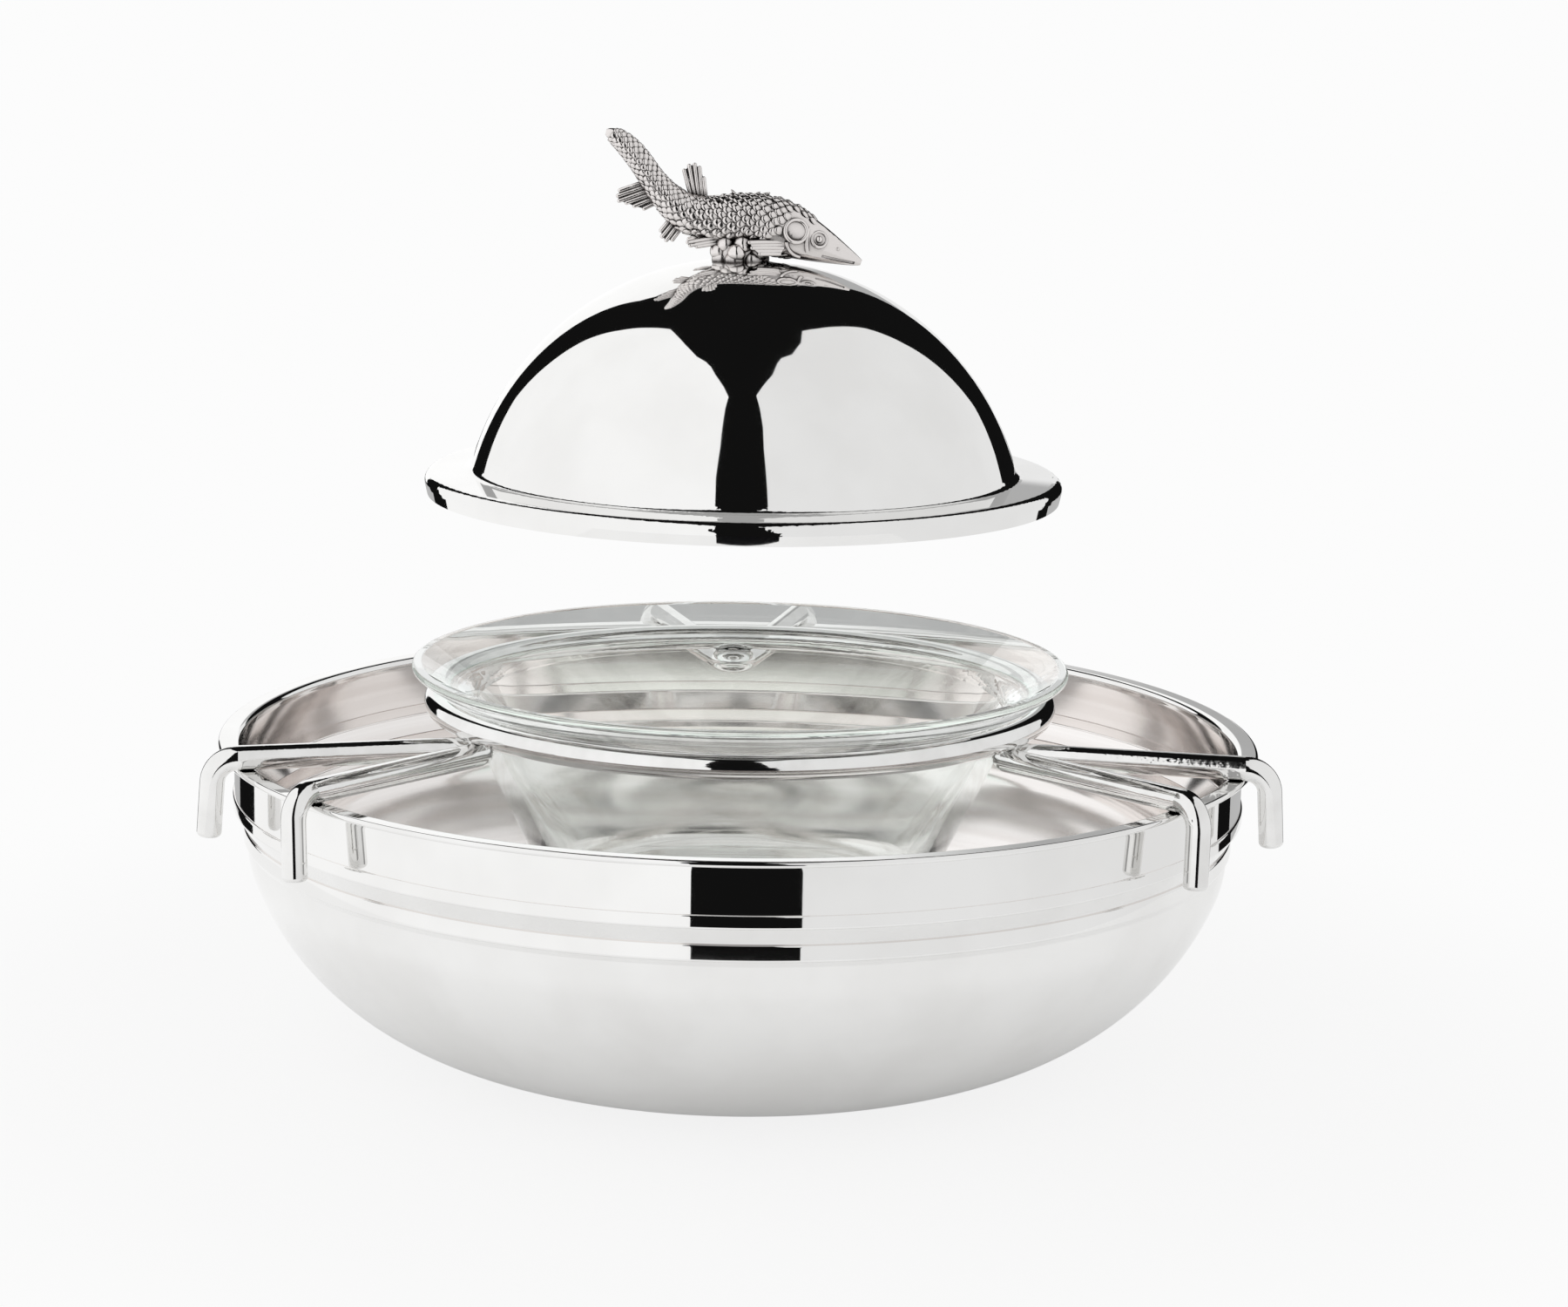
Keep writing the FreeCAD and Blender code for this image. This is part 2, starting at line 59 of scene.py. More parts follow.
# Fades: the value where each starts and ends, and what it gives before and after, where that is not 0 and 1
BACKDROP_RIGHT_FADE = (0.02, 0.16)
BACKDROP_HIGH_FADE = (0.335, 0.368, 0.3, 1.0)
BACKDROP_DIMMING = 0.58
# Painted light on the table as metal mirrors it: darker towards the right, and a painted shadow near the
# middle under the bowl
TABLE_PAINTED_LIGHT_RIGHT_FADE = (-0.7, 0.7, 1.0, 0.6)
TABLE_PAINTED_SHADOW_UNDER_FADE = (0.25, 0.6, 0.25, 1.0)
TABLE_SHADOW_FADE = (0.55, 0.98, 0.86, 1.0)

# Table top, the dark card before the lid, and what the air shows to each kind of ray
TABLE_HALF_WIDTH = 0.2
TABLE_HALF_DEPTH = 0.209
TABLE_CORNERS = 128
FLAG_PLACE = (0.0034, -0.095, 0.0663)
FLAG_SIZE = (0.0278, 0.0046)
WHITE = 0.973
AIR_ON_MATT = 0.8
AIR_THROUGH_GLASS = 0.9
ROOM_FADE = (1, 2, 0.006, 0.42)
ROOM_BEHIND_GLASS_FADE = (0, 1, 0, 0.7)

# Ice bowl, in mm and degrees: the sizes of its solid, with the corners of its steps and lip drawn finer
BOWL_SHEET = 1.0
BASE_RADIUS = 38.0
BELLY_CENTRE = (38.0, 46.6)
BELLY_ARC = 46.6
SHOULDER_CENTRE = (65.4, 35.4)
SHOULDER_ARC = 17.0
BAND_RADIUS = 84.4
BAND_TOP = 50.6
BEAD_HIGH = 0.3
BEAD_ROUND = 0.3
BEAD_TURN = 80
UPPER_BEAD = (41.7, 43.9)
LOWER_BEAD = (36.2, 38.9)
LOWER_BEAD_RADIUS = 82.75
LIP_RADIUS = 87.0
LIP_TOP = 52.7
LIP_BEND = 1.1
FLAT_MARGIN = 0.12
FLAT_MARGIN_SHARE = 0.4
SHARP_ANGLE = 25
SAME_PLACE = 0.001

# Steps in which the bowl's turn and its arcs are drawn
BOWL_STEPS = 288
BELLY_STEPS = 44
SHOULDER_STEPS = 10
BEAD_STEPS = 5
LIP_STEPS = 18
UNDER_LIP_STEPS = 4

# Fish: x, z above the dome's top, half height and half width of the body, in mm
DOME_TOP = 132.6
FISH_STATIONS = (
    (-23.5, 20.3, 0.45, 0.3), (-22.4, 19.9, 1.1, 0.7), (-20.9, 18.9, 1.5, 1.0), (-18.5, 16.5, 1.8, 1.2),
    (-15.9, 12.9, 1.95, 1.4), (-13.2, 9.7, 2.45, 1.9), (-10.9, 7.9, 2.9, 2.4), (-8.3, 6.8, 3.35, 2.8),
    (-5.2, 6.2, 3.9, 3.3), (-1.0, 6.0, 4.5, 3.9), (3.3, 5.6, 4.7, 4.1), (6.2, 4.8, 4.45, 3.9),
    (9.3, 3.6, 3.75, 3.3), (12.2, 2.4, 2.9, 2.6),
)

# Scales, in mm and degrees; they are full size where the body is at least as high as FULL_SCALES_HALF_HEIGHT
SCALE_PITCH = 1.62
SCALE_ROW_PITCH = 0.78
SCALE_LENGTH = 0.98
SCALE_WIDTH = 0.74
SCALE_THICKNESS = 0.24
SCALE_TILT = 17
SCALE_SINK = 0.02
SCALES_START = 9.6
SCALES_END = -22.2
SCALES_CEILING = 20.45
SCALES_IN_SMALLEST_ROW = 8
SMALLEST_SCALE = 0.76
FULL_SCALES_HALF_HEIGHT = 3.2
SPINE_STEP = 0.3
GILL_MIDDLE = (8.1, 3.9)
GILL_CLEAR = (2.75, 3.9)

# Bare skin is found this near to where the stations put it, as shares of its distance from the spine, and
# faces the spine's line at least this squarely
SKIN_NEAREST = 0.9
SKIN_FURTHEST = 1.09
SKIN_SQUARENESS = 0.6

# Colours of the finishes
BLACK = (0, 0, 0)
FULL_WHITE = (1, 1, 1)
POLISHED_STEEL = (0.885, 0.883, 0.875)
HAZY_STEEL = (0.84, 0.836, 0.826)
# Spun steel of the bowl's inside: painted light, lighter than the outside's steel, over the real turning
# rings
SPUN_STEEL_PAINTED_LIGHT = (0.93, 0.905, 0.89)
SPUN_STEEL_RINGS = (0.84, 0.805, 0.785)
WIRE_STEEL = (0.87, 0.868, 0.86)
HAZY_WIRE_STEEL = (0.8, 0.795, 0.785)
SCREW_STEEL = (0.5, 0.5, 0.49)
SCREW_STEEL_RINGS = (0.64, 0.64, 0.63)
GLASS = (0.985, 0.995, 0.99)
GLASS_DEPTHS = (0.6, 0.93, 0.8)
SILVER_TARNISH = (0.03, 0.023, 0.021)
SILVER = (0.81, 0.775, 0.76)
TABLE_WHITE = (0.9, 0.9, 0.895)
FLAG_BLACK = (0.01, 0.01, 0.011)

# Ranges of the noise over which haze and rings show in the colour, and haze in the roughness
TONE_RANGE = (0.35, 0.7)
HAZE_RANGE = (0.4, 0.75)

# Where the bowl's inside begins: how far a face looks up and inwards, and how far below the lip it lies
INWARDS_FADE = (0.05, 0.3)
BELOW_LIP_FADE = (0.0508, 0.0513, 1.0, 0.0)
BANDS_IN_SWELL = 0.35

# Hollows of the cast silver: how far they reach, in metres, and how open and clean a place is rubbed bright
HOLLOW_REACH = 0.0014
TARNISH_SHARE = 0.34
RUBBED_FADE = (0.72, 1.12)
GRAIN_IN_SWELL = 0.15

# Roughness of the clean metal, and what each kind of wear adds to it
MIRROR_ROUGHNESS = 0.018
HAZE_ROUGHNESS = 0.02
WIPE_ROUGHNESS = 0.014
SPUN_ROUGHNESS = 0.07
BAND_ROUGHNESS = 0.07
WIRE_ROUGHNESS = 0.03
WIRE_HAZE_ROUGHNESS = 0.03
DIE_MARK_ROUGHNESS = 0.02
SILVER_ROUGHNESS = 0.07
TARNISH_ROUGHNESS = 0.2
GRAIN_ROUGHNESS = 0.1
SCREW_ROUGHNESS = 0.24
SCREW_RING_ROUGHNESS = 0.1

# Depth of the relief that only bump gives, in metres
PRESS_WAVE_DEPTH = 0.00003
DIE_MARK_DEPTH = 0.000004
MOULD_WAVE_DEPTH = 0.00005
CASTING_DEPTH = 0.00014
TURNING_DEPTH = 0.000004

# Sockets of the Mix node for colours, and of the Mix Shader
MIX_LOW = 6
MIX_HIGH = 7
MIX_RESULT = 2
SHADER_FACTOR = 0
SHADER_LOW = 1
SHADER_HIGH = 2


class Wire:
    """An output of a node, with the operators that add its Math nodes."""

    def __init__(self, finish, socket):
        self.finish = finish
        self.socket = socket

    def _maths(self, operation, first, second):
        return self.finish.node("ShaderNodeMath", {"operation": operation}, {0: first, 1: second})

    def __add__(self, other):
        return self._maths("ADD", self, other)

    __radd__ = __add__

    def __sub__(self, other):
        return self._maths("SUBTRACT", self, other)

    def __rsub__(self, other):
        return self._maths("SUBTRACT", other, self)

    def __mul__(self, other):
        return self._maths("MULTIPLY", self, other)

    __rmul__ = __mul__


class Finish:
    """The node tree of one material or of the world."""

    def __init__(self, owner):
        owner.use_nodes = True
        self.owner = owner
        self.tree = owner.node_tree
        self.tree.nodes.clear()

    def node(self, kind, settings, sockets, output=0):
        made = self.tree.nodes.new(kind)
        for name, value in settings.items():
            setattr(made, name, value)
        for name, value in sockets.items():
            if isinstance(value, Wire):
                self.tree.links.new(value.socket, made.inputs[name])
            else:
                made.inputs[name].default_value = value
        return Wire(self, made.outputs[output])

    def light_path(self, ray):
        return self.node("ShaderNodeLightPath", {}, {}, ray)

    def mirrored(self):
        """1 for a ray that comes off metal or off the face of the glass."""
        return self.light_path("Is Glossy Ray") * (1 - self.light_path("Is Transmission Ray"))

    def place(self, scale=(1, 1, 1)):
        here = self.node("ShaderNodeTexCoord", {}, {}, "Object")
        return self.node("ShaderNodeMapping", {}, {"Vector": here, "Scale": scale})

    def part_of(self, vector, axis):
        return self.node("ShaderNodeSeparateXYZ", {}, {"Vector": vector}, axis)

    def length(self, vector):
        return self.node("ShaderNodeVectorMath", {"operation": "LENGTH"}, {0: vector}, "Value")

    def noise(self, vector, scale, detail):
        return self.node("ShaderNodeTexNoise", {}, {"Vector": vector, "Scale": scale, "Detail": detail})

    def fade(self, value, low, high, at_low=0.0, at_high=1.0):
        sockets = {"Value": value, "From Min": low, "From Max": high, "To Min": at_low, "To Max": at_high}
        return self.node("ShaderNodeMapRange", {"interpolation_type": "SMOOTHSTEP"}, sockets)

    def mix(self, factor, low, high):
        """Mix two colours, each written out or made by another node."""
        low, high = [end if isinstance(end, Wire) else (*end, 1) for end in (low, high)]
        sockets = {"Factor": factor, MIX_LOW: low, MIX_HIGH: high}
        return self.node("ShaderNodeMix", {"data_type": "RGBA"}, sockets, MIX_RESULT)

    def mix_shaders(self, factor, low, high):
        sockets = {SHADER_FACTOR: factor, SHADER_LOW: low, SHADER_HIGH: high}
        return self.node("ShaderNodeMixShader", {}, sockets)

    def bump(self, height, distance):
        return self.node("ShaderNodeBump", {}, {"Height": height, "Distance": distance, "Strength": 1.0})

    def metal(self, colour, roughness, normal):
        sockets = {"Base Color": colour, "Metallic": 1.0, "Roughness": roughness, "Normal": normal}
        return self.surface(self.node("ShaderNodeBsdfPrincipled", {}, sockets))

    def matt(self, colour):
        return self.node("ShaderNodeBsdfDiffuse", {}, {"Color": (*colour, 1)})

    def emission(self, colour, strength):
        return self.node("ShaderNodeEmission", {}, {"Color": colour, "Strength": strength})

    def surface(self, shader, volume=None):
        """Join the shaders to an output node, and hand back the material or the world."""
        is_world = isinstance(self.owner, bpy.types.World)
        end = self.tree.nodes.new("ShaderNodeOutputWorld" if is_world else "ShaderNodeOutputMaterial")
        self.tree.links.new(shader.socket, end.inputs["Surface"])
        if volume is not None:
            self.tree.links.new(volume.socket, end.inputs["Volume"])
        return self.owner


def new_finish(name):
    return Finish(bpy.data.materials.new(name))


def ice_bowl_sheet():
    """Mirror-polished outside and lip, and a softer, spun polish inside with fine rings round the axis; the
    inside's colour is painted lighter than the outside's, as painted light from above.
    """
    f = new_finish("ice_bowl_sheet")
    here = f.place()
    height = f.part_of(here, "Z")
    facing = f.node("ShaderNodeNewGeometry", {}, {}, "Normal")
    flat = f.node("ShaderNodeVectorMath", {"operation": "MULTIPLY"}, {0: here, 1: (1, 1, 0)})
    outwards = f.node("ShaderNodeVectorMath", {"operation": "NORMALIZE"}, {0: flat})
    out_part = f.node("ShaderNodeVectorMath", {"operation": "DOT_PRODUCT"}, {0: facing, 1: outwards}, "Value")
    inside = f.fade(f.part_of(facing, "Z") - out_part, *INWARDS_FADE) * f.fade(height, *BELOW_LIP_FADE)
    ring_place = f.node("ShaderNodeCombineXYZ", {}, {"X": f.length(flat), "Z": height})
    rings = f.noise(ring_place, scale=420, detail=3)
    bands = f.noise(ring_place, scale=60, detail=2)
    haze = f.noise(here, scale=55, detail=3)
    waves = f.noise(here, scale=26, detail=1)
    outer_colour = f.mix(f.fade(haze, *TONE_RANGE), POLISHED_STEEL, HAZY_STEEL)
    # Inside colour: painted light from above, over the spun finish's real rings
    inner_colour_painted_light = f.mix(f.fade(rings, *TONE_RANGE), SPUN_STEEL_PAINTED_LIGHT, SPUN_STEEL_RINGS)
    clean = MIRROR_ROUGHNESS + HAZE_ROUGHNESS * f.fade(haze, *HAZE_RANGE)
    spun = SPUN_ROUGHNESS + BAND_ROUGHNESS * f.fade(bands, *TONE_RANGE)
    roughness = clean + (spun - clean) * inside
    swell = waves + BANDS_IN_SWELL * bands * inside
    return f.metal(f.mix(inside, outer_colour, inner_colour_painted_light), roughness, f.bump(swell, PRESS_WAVE_DEPTH))


def polished_sheet():
    """Mirror-polished stainless sheet: nearly clean, with a trace of haze and of the press's waves."""
    f = new_finish("polished_sheet")
    haze = f.noise(f.place(), scale=55, detail=3)
    waves = f.noise(f.place(), scale=26, detail=1)
    wipes = f.noise(f.place(scale=(1, 1, 9)), scale=240, detail=2)
    colour = f.mix(f.fade(haze, *TONE_RANGE), POLISHED_STEEL, HAZY_STEEL)
    roughness = MIRROR_ROUGHNESS + HAZE_ROUGHNESS * f.fade(haze, *HAZE_RANGE) + WIPE_ROUGHNESS * wipes
    return f.metal(colour, roughness, f.bump(waves, PRESS_WAVE_DEPTH))


def drawn_wire():
    """Polished drawn wire, with fine die marks."""
    f = new_finish("drawn_wire")
    haze = f.noise(f.place(), scale=160, detail=3)
    marks = f.noise(f.place(scale=(1, 1, 3)), scale=700, detail=2)
    colour = f.mix(f.fade(haze, *TONE_RANGE), WIRE_STEEL, HAZY_WIRE_STEEL)
    roughness = WIRE_ROUGHNESS + WIRE_HAZE_ROUGHNESS * f.fade(haze, *HAZE_RANGE) + DIE_MARK_ROUGHNESS * marks
    return f.metal(colour, roughness, f.bump(marks, DIE_MARK_DEPTH))


def pressed_glass():
    """Clear pressed glass, green through its thick edges, with the mould's faint waves.

    What the metal round it mirrors shows straight through it.
    """
    f = new_finish("pressed_glass")
    waves = f.noise(f.place(), scale=45, detail=1)
    body = f.node("ShaderNodeBsdfPrincipled", {}, {
        "Base Color": (*GLASS, 1), "Roughness": 0.0, "IOR": 1.5, "Transmission Weight": 1.0,
        "Normal": f.bump(waves, MOULD_WAVE_DEPTH),
    })
    clear = f.node("ShaderNodeBsdfTransparent", {}, {})
    body = f.mix_shaders(f.light_path("Is Reflection Ray"), body, clear)
    tint = f.node("ShaderNodeVolumeAbsorption", {}, {"Color": (*GLASS_DEPTHS, 1), "Density": 9.0})
    return f.surface(body, tint)


def cast_silver():
    """Cast silver plate, rubbed bright on its heights and dark in its hollows."""
    f = new_finish("antique_silver")
    open_sky = f.node("ShaderNodeAmbientOcclusion", {"samples": 6}, {"Distance": HOLLOW_REACH}, "AO")
    grain = f.noise(f.place(), scale=900, detail=3)
    tarnish = f.noise(f.place(), scale=190, detail=3)
    swell = f.noise(f.place(), scale=380, detail=2)
    rubbed = f.fade(open_sky + TARNISH_SHARE * tarnish, *RUBBED_FADE)
    roughness = SILVER_ROUGHNESS + TARNISH_ROUGHNESS * (1 - rubbed) + GRAIN_ROUGHNESS * grain
    relief = f.bump(swell + GRAIN_IN_SWELL * grain, CASTING_DEPTH)
    return f.metal(f.mix(rubbed, SILVER_TARNISH, SILVER), roughness, relief)


def turned_steel():
    """Plain turned steel with fine rings round its axis."""
    f = new_finish("turned_steel")
    rings = f.node("ShaderNodeTexWave", {"wave_type": "RINGS", "rings_direction": "Z"},
                   {"Vector": f.place(), "Scale": 900.0, "Distortion": 0.6, "Detail": 2.0}, "Fac")
    colour = f.mix(rings, SCREW_STEEL, SCREW_STEEL_RINGS)
    roughness = SCREW_ROUGHNESS + SCREW_RING_ROUGHNESS * rings
    return f.metal(colour, roughness, f.bump(rings, TURNING_DEPTH))


def dress_nodes(nodes):
    """Give each node of the CAD model its finish."""
    wire = drawn_wire()
    finishes = {
        "ice_bowl": ice_bowl_sheet(),
        "support_ring": wire,
        "hook_wire_left": wire,
        "hook_wire_right": wire,
        "hook_wire_back": wire,
        "glass_dish": pressed_glass(),
        "lid": polished_sheet(),
        "fish_finial": cast_silver(),
        "finial_screw": turned_steel(),
    }
    for name, finish in finishes.items():
        for holder in nodes[name].material_slots:
            holder.material = finish
    return finishes


def new_piece(name, maker, finish):
    """An object at the origin from a bmesh, which is freed."""
    mesh = bpy.data.meshes.new(name)
    maker.to_mesh(mesh)
    maker.free()
    mesh.materials.append(finish)
    piece = bpy.data.objects.new(name, mesh)
    bpy.context.scene.collection.objects.link(piece)
    return piece


def smooth_faces(maker):
    for face in maker.faces:
        face.smooth = True


def arc_points(centre, radius, first, last, count):
    """Points of an arc in the outline's plane, from one angle in degrees to another."""
    points = []
    for i in range(count + 1):
        turn = math.radians(first + (last - first) * i / count)
        points.append((centre[0] + radius * math.cos(turn), centre[1] + radius * math.sin(turn)))
    return points


def flat_points(a, b):
    """A straight run with a point just inside each end, so that it stays flat in its shading."""
    share = min(FLAT_MARGIN_SHARE, FLAT_MARGIN / math.dist(a, b))
    near = [a[k] + (b[k] - a[k]) * share for k in (0, 1)]
    far = [b[k] - (b[k] - a[k]) * share for k in (0, 1)]
    return [a, near, far, b]


def bead_points(span, radius):
    """An upright bead with rounded ends, from its low end up."""
    low = span[0] + BEAD_ROUND
    high = span[1] - BEAD_ROUND
    middle = radius + BEAD_HIGH - BEAD_ROUND
    crown = middle + BEAD_ROUND
    return (arc_points((middle, low), BEAD_ROUND, -BEAD_TURN, 0, BEAD_STEPS)
            + flat_points((crown, low), (crown, high))[1:-1]
            + arc_points((middle, high), BEAD_ROUND, 0, BEAD_TURN, BEAD_STEPS))


def bowl_outline(inset):
    """Half section of the bowl from the middle of its base up to the band, moved inwards by a distance."""
    tangent = math.degrees(math.atan2(SHOULDER_CENTRE[1] - BELLY_CENTRE[1],
                                      SHOULDER_CENTRE[0] - BELLY_CENTRE[0]))
    band = BAND_RADIUS - inset
    return (flat_points((0.0, inset), (BASE_RADIUS, inset))[:-1]
            + arc_points(BELLY_CENTRE, BELLY_ARC - inset, -90, tangent, BELLY_STEPS)
            + arc_points(SHOULDER_CENTRE, SHOULDER_ARC - inset, tangent, 0, SHOULDER_STEPS)[1:]
            + bead_points(LOWER_BEAD, LOWER_BEAD_RADIUS - inset)
            + bead_points(UPPER_BEAD, band)
            + flat_points((band, UPPER_BEAD[1]), (band, BAND_TOP))[:-1])


def bowl_lip():
    """The bend and the flat lip, from the top of the band's outer face round to the top of its inner face."""
    low = LIP_TOP - BOWL_SHEET
    under_bend = LIP_BEND - BOWL_SHEET
    edge = (LIP_RADIUS - BOWL_SHEET / 2, LIP_TOP - BOWL_SHEET / 2)
    bend = (BAND_RADIUS + under_bend, low - under_bend)
    return (arc_points(bend, under_bend, 180, 90, UNDER_LIP_STEPS)
            + arc_points(edge, BOWL_SHEET / 2, -90, 90, LIP_STEPS)
            + flat_points((edge[0], LIP_TOP), (bend[0], LIP_TOP))[1:-1]
            + arc_points(bend, LIP_BEND, 90, 180, LIP_STEPS))


def put_in_order(parts, place):
    """Order corners or faces by where they are, because spin leaves them in another order each run."""
    ranks = {part: rank for rank, part in enumerate(sorted(parts, key=lambda part: place(part).to_tuple()))}
    parts.sort(key=ranks.get)


def turned_bowl(finish):
    """The ice bowl, turned in fine steps so that its bends mirror cleanly."""
    section = bowl_outline(0) + bowl_lip() + bowl_outline(BOWL_SHEET)[::-1]
    maker = bmesh.new()
    corners = [maker.verts.new((radius * MM, 0, height * MM)) for radius, height in section]
    for a, b in zip(corners, corners[1:]):
        maker.edges.new((a, b))
    bmesh.ops.spin(maker, geom=maker.verts[:] + maker.edges[:], cent=(0, 0, 0), axis=(0, 0, 1),
                   angle=2 * math.pi, steps=BOWL_STEPS, use_merge=True)
    bmesh.ops.remove_doubles(maker, verts=maker.verts, dist=SAME_PLACE * MM)
    put_in_order(maker.verts, lambda corner: corner.co)
    put_in_order(maker.faces, lambda face: face.calc_center_median())
    bmesh.ops.recalc_face_normals(maker, faces=maker.faces)
    smooth_faces(maker)
    for edge in maker.edges:
        edge.smooth = len(edge.link_faces) < 2 or edge.calc_face_angle() < math.radians(SHARP_ANGLE)
    bowl = new_piece("turned_bowl", maker, finish)
    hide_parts("ice_bowl")
    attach(bowl, "root")


def fish_station(x):
    """Height of the spine, half height and half width at x, between the two stations beside it."""
    for near, far in zip(FISH_STATIONS, FISH_STATIONS[1:]):
        if near[0] <= x <= far[0]:
            share = (x - near[0]) / (far[0] - near[0])
            return [a + (b - a) * share for a, b in zip(near[1:], far[1:])]
    return FISH_STATIONS[-1][1:]


def scale_rows():
    """For each row of scales, from the gill cover to the tail: its middle on the spine, the ways to the tail
    and upwards there, the body's half height and half width, and how large the scales are."""
    x = SCALES_START
    while x > SCALES_END:
        z, high, wide = fish_station(x)
        tailwards = Vector((-SPINE_STEP, 0, fish_station(x - SPINE_STEP)[0] - z)).normalized()
        size = min(1.0, max(SMALLEST_SCALE, high / FULL_SCALES_HALF_HEIGHT))
        upwards = Vector((tailwards.z, 0, -tailwards.x))
        yield Vector((x, 0, DOME_TOP + z)), tailwards, upwards, high, wide, size
        x -= SCALE_ROW_PITCH * size * abs(tailwards.x)


def bare_skin(skin, middle, outward):
    """Where a ray from the spine meets the skin, and the way it faces; None on fins, plates and head."""
    heading = outward.normalized()
    hit, normal, _, distance = skin.ray_cast(middle * MM, heading)
    if hit is None or not SKIN_NEAREST < distance / (outward.length * MM) < SKIN_FURTHEST:
        return None
    from_gill = ((hit.x / MM - GILL_MIDDLE[0]) / GILL_CLEAR[0],
                 (hit.z / MM - DOME_TOP - GILL_MIDDLE[1]) / GILL_CLEAR[1])
    too_high = hit.z / MM > DOME_TOP + SCALES_CEILING
    if abs(normal.dot(heading)) < SKIN_SQUARENESS or math.hypot(*from_gill) < 1 or too_high:
        return None
    return hit, -normal if normal.dot(outward) < 0 else normal


def scale_place(hit, normal, tailwards, size):
    """Matrix that turns a ball of radius 1 into a scale with its rear edge raised off the skin."""
    along = (tailwards - normal * tailwards.dot(normal)).normalized()
    place = Matrix((along, normal.cross(along), normal)).transposed().to_4x4()
    place.translation = hit - normal * SCALE_SINK * MM
    tilt = Matrix.Rotation(math.radians(-SCALE_TILT), 4, "Y")
    lens = [extent * size * MM for extent in (SCALE_LENGTH, SCALE_WIDTH, SCALE_THICKNESS)]
    return place @ tilt @ Matrix.Diagonal((*lens, 1))


def fish_scales(body, finish):
    """Overlapping scales from behind the gill cover to the tail, each a thin lens."""
    skin = BVHTree.FromPolygons([v.co for v in body.data.vertices], [p.vertices for p in body.data.polygons])
    maker = bmesh.new()
    for row, (middle, tailwards, upwards, high, wide, size) in enumerate(scale_rows()):
        girth = math.pi * (high + wide)
        count = max(SCALES_IN_SMALLEST_ROW, round(girth / (SCALE_PITCH * size)))
        for k in range(count):
            turn = 2 * math.pi * (k + 0.5 * (row % 2)) / count
            outward = upwards * high * math.cos(turn) + Vector((0, wide * math.sin(turn), 0))
            found = bare_skin(skin, middle, outward)
            if found:
                bmesh.ops.create_icosphere(maker, subdivisions=2, radius=1.0,
                                           matrix=scale_place(*found, tailwards, size))
    smooth_faces(maker)
    scales = new_piece("fish_scales", maker, finish)
    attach(scales, "root")


def towards(bearing, height, distance):
    """Point of the tent in a direction from its centre."""
    a, e = math.radians(bearing), math.radians(height)
    level = math.cos(e)
    return Vector(TENT_CENTRE) + distance * Vector((math.sin(a) * level, math.cos(a) * level, math.sin(e)))


def tent_side(name, rows, finish):
    """A curved sheet of white cloth, which the lens does not see."""
    maker = bmesh.new()
    bmesh.ops.create_grid(maker, x_segments=TENT_COLUMNS, y_segments=len(rows) - 1, size=0.5)
    for corner in maker.verts:
        along = corner.co.x + 0.5
        height, start, end = rows[round((corner.co.y + 0.5) * (len(rows) - 1))]
        corner.co = towards(start + (end - start) * along, height, TENT_RADIUS)
    smooth_faces(maker)
    side = new_piece(name, maker, finish)
    side.visible_camera = False


def glow(name, strength):
    """Evenly lit white cloth."""
    f = new_finish(name)
    return f.surface(f.emission((*FULL_WHITE, 1), strength))


def backdrop_finish():
    """White cloth that falls off into grey to the right of the middle, most of all high up."""
    f = new_finish("backdrop_white")
    here = f.place()
    to_right = f.fade(f.part_of(here, "X"), *BACKDROP_RIGHT_FADE)
    lit = 1 - BACKDROP_DIMMING * to_right * f.fade(f.part_of(here, "Z"), *BACKDROP_HIGH_FADE)
    return f.surface(f.emission(f.mix(lit, BLACK, FULL_WHITE), BACKDROP_GLOW))


def table_finish():
    """White table top that keeps a soft shadow and shows white to the lens and through glass; metal sees it
    white with painted light, darker to the right, and a painted shadow near its middle.
    """
    f = new_finish("table_white")
    here = f.place(scale=(1 / TABLE_HALF_WIDTH, 1 / TABLE_HALF_DEPTH, 1))
    from_middle = f.length(here)
    # What metal sees of the table: painted light fading to the right, and a painted shadow near the middle
    lit = f.fade(f.part_of(here, "X"), *TABLE_PAINTED_LIGHT_RIGHT_FADE) * f.fade(from_middle, *TABLE_PAINTED_SHADOW_UNDER_FADE)
    seen = f.light_path("Is Camera Ray") + f.light_path("Is Transmission Ray")
    shown = f.fade(from_middle, *TABLE_SHADOW_FADE) * seen + lit * f.mirrored()
    return f.surface(f.mix_shaders(shown, f.matt(TABLE_WHITE), f.emission((*FULL_WHITE, 1), WHITE)))


def table_top():
    maker = bmesh.new()
    bmesh.ops.create_circle(maker, cap_ends=True, segments=TABLE_CORNERS, radius=1)
    bmesh.ops.scale(maker, vec=(TABLE_HALF_WIDTH, TABLE_HALF_DEPTH, 1), verts=maker.verts)
    new_piece("table_top", maker, table_finish())


def dark_flag():
    """A small dark card that only the skirt of the lid mirrors, below the slot between the tent's sides."""
    f = new_finish("flag_black")
    maker = bmesh.new()
    upright = Matrix.Translation(FLAG_PLACE) @ Matrix.Rotation(math.radians(90), 4, "X")
    shape = Matrix.Diagonal((*FLAG_SIZE, 1, 1))
    bmesh.ops.create_grid(maker, x_segments=1, y_segments=1, size=0.5, matrix=upright @ shape)
    flag = new_piece("flag", maker, f.surface(f.matt(FLAG_BLACK)))
    flag.visible_camera = False
    flag.visible_diffuse = False
    flag.visible_transmission = False
    flag.visible_shadow = False


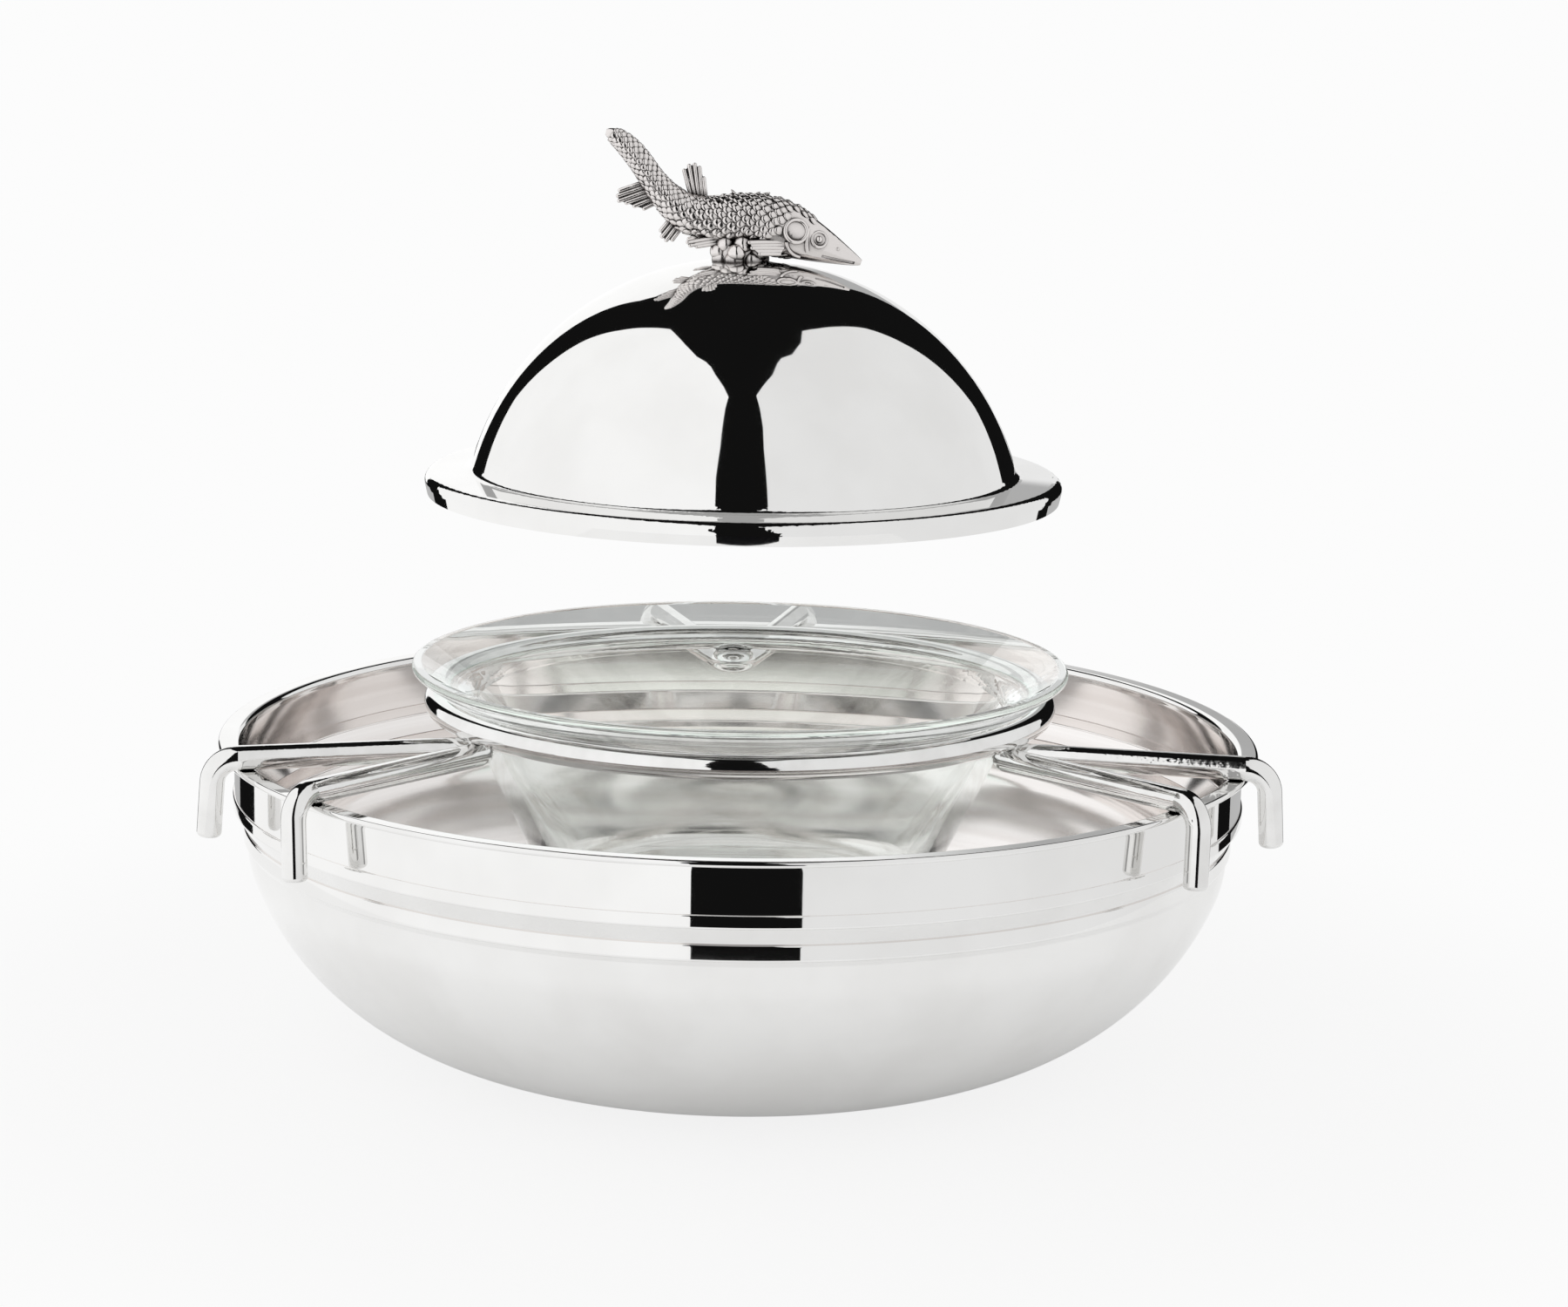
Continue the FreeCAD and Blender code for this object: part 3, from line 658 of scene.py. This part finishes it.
def studio_air():
    """White all round for the lens and for matt surfaces; metal sees the dark room between the tent's sides.

    Metal behind glass, and metal that mirrors other metal, sees a paler room.
    """
    world = bpy.data.worlds.new("studio_air")
    bpy.context.scene.world = world
    f = Finish(world)
    room = f.fade(f.light_path("Glossy Depth"), *ROOM_FADE)
    behind_glass = f.fade(f.light_path("Transmission Depth"), *ROOM_BEHIND_GLASS_FADE)
    strength = (WHITE * f.light_path("Is Camera Ray")
                + AIR_ON_MATT * f.light_path("Is Diffuse Ray")
                + AIR_THROUGH_GLASS * f.light_path("Is Transmission Ray")
                + f.mirrored() * (room + behind_glass))
    f.surface(f.node("ShaderNodeBackground", {}, {"Color": (*FULL_WHITE, 1), "Strength": strength}))


def studio():
    table_top()
    tent_side("tent_left", LEFT_SIDE_ROWS, glow("tent_left_white", LEFT_SIDE_GLOW))
    tent_side("tent_right", RIGHT_SIDE_ROWS, glow("tent_right_white", RIGHT_SIDE_GLOW))
    tent_side("backdrop", BACKDROP_ROWS, backdrop_finish())
    tent_side("backdrop_foot", BACKDROP_FOOT_ROWS, glow("backdrop_grey", BACKDROP_FOOT_GLOW))
    dark_flag()
    studio_air()


def photo_camera():
    lens = bpy.data.cameras.new("photo_camera")
    lens.sensor_width = CAMERA_SENSOR
    lens.lens = CAMERA_LENS
    lens.clip_start = CAMERA_CLIP
    camera = bpy.data.objects.new("photo_camera", lens)
    bpy.context.scene.collection.objects.link(camera)
    down = Matrix.Rotation(math.radians(90 - CAMERA_DOWN), 4, "X")
    roll = Matrix.Rotation(math.radians(CAMERA_ROLL), 4, "Z")
    camera.matrix_world = Matrix.Translation(CAMERA_PLACE) @ down @ roll
    bpy.context.scene.camera = camera


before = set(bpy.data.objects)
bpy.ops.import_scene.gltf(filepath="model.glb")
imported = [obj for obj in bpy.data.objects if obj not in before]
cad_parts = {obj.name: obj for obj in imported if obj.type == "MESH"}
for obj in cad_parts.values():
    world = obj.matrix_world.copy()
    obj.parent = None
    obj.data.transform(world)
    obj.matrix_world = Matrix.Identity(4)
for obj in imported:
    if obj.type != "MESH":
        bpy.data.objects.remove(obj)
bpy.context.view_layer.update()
finishes = dress_nodes(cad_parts)
turned_bowl(finishes["ice_bowl"])
fish_scales(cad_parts["fish_finial"], finishes["fish_finial"])
studio()
photo_camera()
bpy.context.scene.view_settings.view_transform = "Standard"
